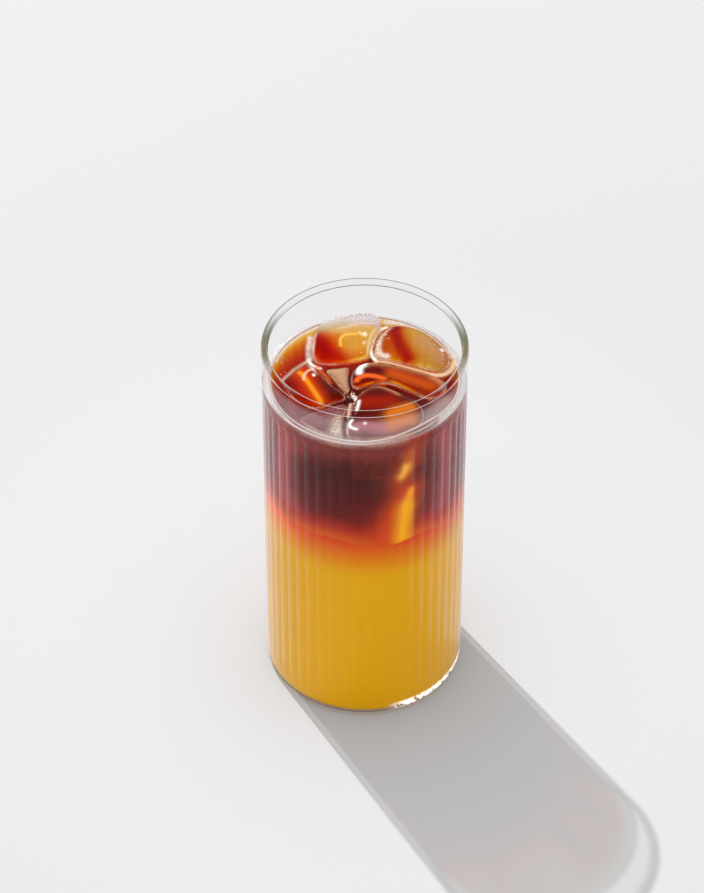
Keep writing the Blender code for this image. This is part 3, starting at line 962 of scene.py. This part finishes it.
def coffee_finish():
    """Black coffee, cold: clear and dark red-brown, so thin places glow amber and deep ones go black."""
    finish = new_finish("black_coffee_clear")
    water = add(
        finish,
        "BsdfPrincipled",
        {
            "Base Color": WHITE,
            "Roughness": 0.0,
            "IOR": 1.333,
            "Specular Tint": (WET_SHINE, WET_SHINE, WET_SHINE, 1.0),
            "Transmission Weight": 1.0,
        },
    )
    place = add(finish, "TexCoord").outputs["Object"]
    flat = add(finish, "VectorMath", place, (1.0, 1.0, 0.0), operation="MULTIPLY")
    across = add(finish, "VectorMath", flat, operation="LENGTH").outputs["Value"]
    at_wall = add(finish, "Math", across, INNER_RADIUS, operation="GREATER_THAN")
    wall = add(finish, "BsdfGlass", {"Color": WHITE, "Roughness": 0.0, "IOR": 1.333 / 1.5})
    water = add(finish, "MixShader", at_wall, water, wall)
    # where it climbs the ice, a pale lit film is a painted highlight for the bright edge there
    lip = add(finish, "Attribute", attribute_name="lip").outputs["Fac"]
    ripple = add(finish, "TexNoise", {"Vector": place, "Scale": RIPPLE_SCALE, "Detail": 2.0})
    highlight_film = add(finish, "ValToRGB", ripple.outputs["Fac"])
    highlight_film.color_ramp.elements[0].position, highlight_film.color_ramp.elements[1].position = 0.35, 0.65
    highlight_film.color_ramp.elements[0].color = linear("#C88C70")
    highlight_film.color_ramp.elements[1].color = linear("#F8D8C0")
    painted_lip_highlight = add(finish, "BsdfDiffuse", {"Color": highlight_film})
    uneven = add(finish, "TexNoise", {"Vector": place, "Scale": UNEVEN_SCALE, "Detail": 1.0})
    uneven = add(finish, "MapRange", uneven.outputs["Fac"], 0.36, 0.60, 0.3, 1.0)
    for share in (LIP_HIGHLIGHT, uneven):
        lip = add(finish, "Math", lip, share, operation="MULTIPLY")
    water = add(finish, "MixShader", lip, water, painted_lip_highlight)
    water = add_haze_and_painted_light(finish, place, water)
    # light in the coffee, painted on its side and seen only from outside
    glow = add(finish, "Attribute", attribute_name="glow").outputs["Color"]
    glow = add(finish, "Emission", {"Color": glow, "Strength": 1.0})
    glowing = add(finish, "Attribute", attribute_name="glowing").outputs["Fac"]
    ahead = add(finish, "NewGeometry").outputs["Backfacing"]
    ahead = add(finish, "Math", 1.0, ahead, operation="SUBTRACT")
    glowing = add(finish, "Math", glowing, ahead, operation="MULTIPLY")
    water = add(finish, "MixShader", glowing, water, glow)
    surface = lets_light_in(finish, water)
    tint_and_shade = add(finish, "VolumeAbsorption", {"Color": COFFEE_TINT, "Density": COFFEE_DENSITY})
    add(finish, "OutputMaterial", {"Surface": surface, "Volume": tint_and_shade})
    return finish


def juice_finish():
    """Strained orange juice: cloudy, so light spreads inside, golden, redder where it meets coffee."""
    finish = new_finish("orange_juice_cloudy")
    place = add(finish, "TexCoord")
    height = add(finish, "SeparateXYZ", place.outputs["Object"])
    tilt = add(finish, "Math", height.outputs["X"], -LAYER_TILT, operation="MULTIPLY")
    level = add(finish, "Math", height.outputs["Z"], tilt, operation="ADD")
    share = add(finish, "MapRange", level, *JUICE_BLEND)
    colour = add(finish, "ValToRGB", share)
    ramp = colour.color_ramp
    ramp.elements[0].color = linear("#FFB800")
    ramp.elements[1].color = linear("#FF4400")
    # a faint painted glow stands for lamp light shining through the juice from behind
    juice = add(
        finish,
        "BsdfPrincipled",
        {
            "Base Color": colour,
            "Roughness": 0.3,
            "IOR": 1.05,
            "Subsurface Weight": 0.5,
            "Subsurface Radius": (1.0, 0.6, 0.1),
            "Subsurface Scale": 0.004,
            "Emission Color": colour,
            "Emission Strength": JUICE_GLOW,
        },
    )
    add(finish, "OutputMaterial", {"Surface": juice})
    return finish


def add_haze_and_painted_light(finish, place, shader):
    """Lays frost and froth, painted highlights and painted glow over a shader where the piece's points are
    painted with it.
    """
    paint = add(finish, "Attribute", attribute_name="haze_and_painted_light")
    grain = add(finish, "TexNoise", {"Vector": place, "Scale": GRAIN_SCALE, "Detail": 3.0})
    grain = add(finish, "MapRange", grain.outputs["Fac"], 0.36, 0.60, GRAIN_LEAST, 1.0)
    grain = add(finish, "Mix", {0: paint.outputs["Alpha"], 2: 1.0, 3: grain}, data_type="FLOAT")
    cover = add(finish, "Attribute", attribute_name="cover").outputs["Fac"]
    cover = add(finish, "Math", cover, grain.outputs[0], operation="MULTIPLY")
    frost_and_painted_light = add(finish, "BsdfDiffuse", {"Color": paint.outputs["Color"]})
    # a faint painted glow, so that painted highlights shine brighter than lit white
    inner = add(finish, "Emission", {"Color": paint.outputs["Color"], "Strength": PAINTED_LIGHT_GLOW})
    frost_and_painted_light = add(finish, "AddShader", frost_and_painted_light, inner)
    return add(finish, "MixShader", cover, shader, frost_and_painted_light)


def ice_finish():
    """Clear tray ice, wet: smooth, slightly wavy, tinted darker and redder in places by painted shade and
    glow for the coffee and light seen through it, with frosty air and painted highlights in places.
    """
    finish = new_finish("wet_clear_ice")
    place = add(finish, "TexCoord").outputs["Object"]
    ice = add(
        finish,
        "BsdfPrincipled",
        {
            "Base Color": add(finish, "Attribute", attribute_name="tint_and_shade").outputs["Color"],
            "Roughness": 0.0,
            "IOR": 1.31,
            "Specular Tint": (WET_SHINE, WET_SHINE, WET_SHINE, 1.0),
            "Transmission Weight": 1.0,
        },
    )
    ice = add_haze_and_painted_light(finish, place, ice)
    surface = lets_light_in(finish, ice)
    add(finish, "OutputMaterial", {"Surface": surface})
    return finish


def bubble_finish():
    """Air bubbles at the surface: bright where their thin skin mirrors the studio."""
    finish = new_finish("air_bubbles")
    skin = add(
        finish,
        "BsdfPrincipled",
        {"Base Color": linear("#F6DCC0"), "Roughness": 0.1, "IOR": 1.333, "Transmission Weight": 0.35},
    )
    surface = lets_light_in(finish, skin)
    add(finish, "OutputMaterial", {"Surface": surface})
    return finish


def waterline_finish():
    """A painted highlight: the coffee's thin edge at the glass, pale and lit, for the bright line it shows.
    """
    finish = new_finish("coffee_film_lit")
    highlight_film = add(
        finish,
        "BsdfPrincipled",
        {
            "Base Color": linear("#F6D8CC"),
            "Roughness": 0.15,
            "IOR": 1.333,
            "Subsurface Weight": 0.3,
            "Subsurface Radius": (1.0, 0.5, 0.3),
            "Subsurface Scale": 0.001,
        },
    )
    surface = lets_light_in(finish, highlight_film)
    add(finish, "OutputMaterial", {"Surface": surface})
    return finish


def floor_finish():
    """Matt white board, painted a little lighter near the glass against the shade the glass casts from the
    sky.
    """
    finish = new_finish("matt_board")
    place = add(finish, "TexCoord").outputs["Object"]
    away = add(finish, "VectorMath", place, operation="LENGTH").outputs["Value"]
    near = add(finish, "MapRange", away, *BOARD_LIT_NEAR, **SOFT)
    colour = add(finish, "Mix", {0: near, 6: linear("#DADADB"), 7: linear("#E2E2E3")}, data_type="RGBA")
    board = add(
        finish,
        "BsdfPrincipled",
        {"Base Color": colour.outputs[2], "Roughness": 0.9, "Specular IOR Level": 0.0},
    )
    add(finish, "OutputMaterial", {"Surface": board})
    return finish


def dress(piece, finish, slot, *nodes):
    """Gives a piece its finish, sets it on the part's body and lets it stand for its solids."""
    piece.data.materials.clear()
    piece.data.materials.append(finish)
    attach(piece, "root")
    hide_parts(*nodes)


def make_stage():
    deselect_all()
    bpy.ops.mesh.primitive_plane_add(size=6.0, location=(0, 0, 0))
    floor = bpy.context.object
    floor.name = "floor"
    floor.data.materials.append(floor_finish())

    world = bpy.data.worlds.new("studio")
    bpy.context.scene.world = world
    world.use_nodes = True
    sky = world.node_tree.nodes["Background"]
    sky.inputs["Color"].default_value = WHITE
    sky.inputs["Strength"].default_value = STUDIO_LIGHT

    lamp_data = bpy.data.lights.new("key_lamp", "POINT")
    lamp_data.shadow_soft_size = LAMP_RADIUS
    lamp_data.energy = 1.0
    lamp_data.use_nodes = True
    even = lamp_data.node_tree.nodes.new("ShaderNodeLightFalloff")
    even.inputs["Strength"].default_value = LAMP_STRENGTH
    glow = lamp_data.node_tree.nodes["Emission"]
    lamp_data.node_tree.links.new(even.outputs["Constant"], glow.inputs["Strength"])
    lamp = bpy.data.objects.new("key_lamp", lamp_data)
    bpy.context.scene.collection.objects.link(lamp)
    lamp.location = LAMP_PLACE


def make_camera():
    """A long lens that looks down on the drink from the front, as the photograph does."""
    camera_data = bpy.data.cameras.new("camera")
    camera_data.lens = CAMERA_LENS
    camera_data.sensor_width = 36.0
    camera_data.clip_start = 0.05
    camera = bpy.data.objects.new("camera", camera_data)
    bpy.context.scene.collection.objects.link(camera)
    camera.location = CAMERA_PLACE
    camera.rotation_euler = (radians(90 - CAMERA_DOWN), 0, 0)
    bpy.context.scene.camera = camera


def main():
    scene = bpy.context.scene
    scene.view_settings.view_transform = "Standard"
    scene.cycles.transparent_max_bounces = 24
    scene.cycles.max_bounces = 24
    scene.cycles.transmission_bounces = 24
    scene.cycles.glossy_bounces = 12
    glass = make_glass()
    juice = make_juice()
    ices = {
        node: make_ice(node + "_melting", seed, **form)
        for seed, (node, form) in enumerate(ICE_CUBES.items(), start=1)
    }
    coffee = make_coffee(list(ices.values()))
    dress(glass, glass_finish(), "clear_glass", "glass")
    dress(juice, juice_finish(), "orange_juice", "orange_juice")
    dress(coffee, coffee_finish(), "black_coffee", "coffee")
    wet_ice = ice_finish()
    for node, ice in ices.items():
        dress(ice, wet_ice, "clear_ice", node)
    bubbles = make_beads("air_bubbles", bubble_places([tree_of(ice) for ice in ices.values()]))
    for piece, finish in ((bubbles, bubble_finish()), (make_waterline(), waterline_finish())):
        piece.data.materials.append(finish)
        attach(piece, "root")
    make_stage()
    make_camera()


main()
